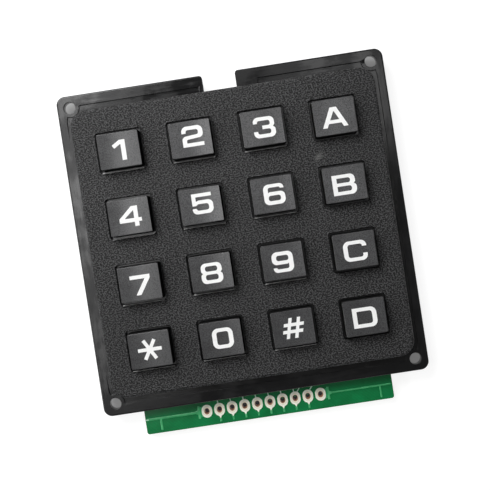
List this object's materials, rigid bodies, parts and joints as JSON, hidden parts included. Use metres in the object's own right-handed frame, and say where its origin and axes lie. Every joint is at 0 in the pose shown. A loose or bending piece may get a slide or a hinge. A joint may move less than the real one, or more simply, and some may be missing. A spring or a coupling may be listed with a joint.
{
  "type": "matrix keypad",
  "caption": "Square hard-key matrix keypad: moulded black housing with a corner-holed flange, travelling keycaps over a rubber dome mat, and a circuit board tab with a row of solder pads.",
  "frame": {"origin": "centre of the four mounting holes, on the back of the flange", "axes": "+Z out of the key faces, +Y towards the top row of keys, +X to the right seen from the front"},
  "size_m": [0.0648, 0.0687, 0.0099],
  "materials": {
    "housing_plastic": "black moulding, fine spark texture on the raised panel, smooth flange",
    "key_plastic": "black-grey satin moulding with a white printed legend",
    "silicone": "grey silicone",
    "board_laminate": "glass-epoxy laminate under green solder mask",
    "carbon": "matt carbon",
    "tin": "dull tinned copper"
  },
  "bodies": {
    "base": {"housing": "housing_plastic", "rubber_mat": "silicone", "circuit_board": "board_laminate", "carbon_contacts": "carbon", "solder_pads": "tin"},
    "key_1": {"key_1": "key_plastic", "pill_1": "carbon"},
    "key_2": {"key_2": "key_plastic", "pill_2": "carbon"},
    "key_3": {"key_3": "key_plastic", "pill_3": "carbon"},
    "key_a": {"key_a": "key_plastic", "pill_a": "carbon"},
    "key_4": {"key_4": "key_plastic", "pill_4": "carbon"},
    "key_5": {"key_5": "key_plastic", "pill_5": "carbon"},
    "key_6": {"key_6": "key_plastic", "pill_6": "carbon"},
    "key_b": {"key_b": "key_plastic", "pill_b": "carbon"},
    "key_7": {"key_7": "key_plastic", "pill_7": "carbon"},
    "key_8": {"key_8": "key_plastic", "pill_8": "carbon"},
    "key_9": {"key_9": "key_plastic", "pill_9": "carbon"},
    "key_c": {"key_c": "key_plastic", "pill_c": "carbon"},
    "key_star": {"key_star": "key_plastic", "pill_star": "carbon"},
    "key_0": {"key_0": "key_plastic", "pill_0": "carbon"},
    "key_hash": {"key_hash": "key_plastic", "pill_hash": "carbon"},
    "key_d": {"key_d": "key_plastic", "pill_d": "carbon"}
  },
  "joints": [
    {"name": "press_1", "type": "slide", "parent": "base", "child": "key_1", "axis": [0, 0, -1], "range_m": [0, 0.0012], "stiffness_N_per_m": 500, "springref_m": -0.0008, "deforming": ["rubber_mat"]},
    {"name": "press_2", "type": "slide", "parent": "base", "child": "key_2", "axis": [0, 0, -1], "range_m": [0, 0.0012], "stiffness_N_per_m": 500, "springref_m": -0.0008, "deforming": ["rubber_mat"]},
    {"name": "press_3", "type": "slide", "parent": "base", "child": "key_3", "axis": [0, 0, -1], "range_m": [0, 0.0012], "stiffness_N_per_m": 500, "springref_m": -0.0008, "deforming": ["rubber_mat"]},
    {"name": "press_a", "type": "slide", "parent": "base", "child": "key_a", "axis": [0, 0, -1], "range_m": [0, 0.0012], "stiffness_N_per_m": 500, "springref_m": -0.0008, "deforming": ["rubber_mat"]},
    {"name": "press_4", "type": "slide", "parent": "base", "child": "key_4", "axis": [0, 0, -1], "range_m": [0, 0.0012], "stiffness_N_per_m": 500, "springref_m": -0.0008, "deforming": ["rubber_mat"]},
    {"name": "press_5", "type": "slide", "parent": "base", "child": "key_5", "axis": [0, 0, -1], "range_m": [0, 0.0012], "stiffness_N_per_m": 500, "springref_m": -0.0008, "deforming": ["rubber_mat"]},
    {"name": "press_6", "type": "slide", "parent": "base", "child": "key_6", "axis": [0, 0, -1], "range_m": [0, 0.0012], "stiffness_N_per_m": 500, "springref_m": -0.0008, "deforming": ["rubber_mat"]},
    {"name": "press_b", "type": "slide", "parent": "base", "child": "key_b", "axis": [0, 0, -1], "range_m": [0, 0.0012], "stiffness_N_per_m": 500, "springref_m": -0.0008, "deforming": ["rubber_mat"]},
    {"name": "press_7", "type": "slide", "parent": "base", "child": "key_7", "axis": [0, 0, -1], "range_m": [0, 0.0012], "stiffness_N_per_m": 500, "springref_m": -0.0008, "deforming": ["rubber_mat"]},
    {"name": "press_8", "type": "slide", "parent": "base", "child": "key_8", "axis": [0, 0, -1], "range_m": [0, 0.0012], "stiffness_N_per_m": 500, "springref_m": -0.0008, "deforming": ["rubber_mat"]},
    {"name": "press_9", "type": "slide", "parent": "base", "child": "key_9", "axis": [0, 0, -1], "range_m": [0, 0.0012], "stiffness_N_per_m": 500, "springref_m": -0.0008, "deforming": ["rubber_mat"]},
    {"name": "press_c", "type": "slide", "parent": "base", "child": "key_c", "axis": [0, 0, -1], "range_m": [0, 0.0012], "stiffness_N_per_m": 500, "springref_m": -0.0008, "deforming": ["rubber_mat"]},
    {"name": "press_star", "type": "slide", "parent": "base", "child": "key_star", "axis": [0, 0, -1], "range_m": [0, 0.0012], "stiffness_N_per_m": 500, "springref_m": -0.0008, "deforming": ["rubber_mat"]},
    {"name": "press_0", "type": "slide", "parent": "base", "child": "key_0", "axis": [0, 0, -1], "range_m": [0, 0.0012], "stiffness_N_per_m": 500, "springref_m": -0.0008, "deforming": ["rubber_mat"]},
    {"name": "press_hash", "type": "slide", "parent": "base", "child": "key_hash", "axis": [0, 0, -1], "range_m": [0, 0.0012], "stiffness_N_per_m": 500, "springref_m": -0.0008, "deforming": ["rubber_mat"]},
    {"name": "press_d", "type": "slide", "parent": "base", "child": "key_d", "axis": [0, 0, -1], "range_m": [0, 0.0012], "stiffness_N_per_m": 500, "springref_m": -0.0008, "deforming": ["rubber_mat"]}
  ]
}
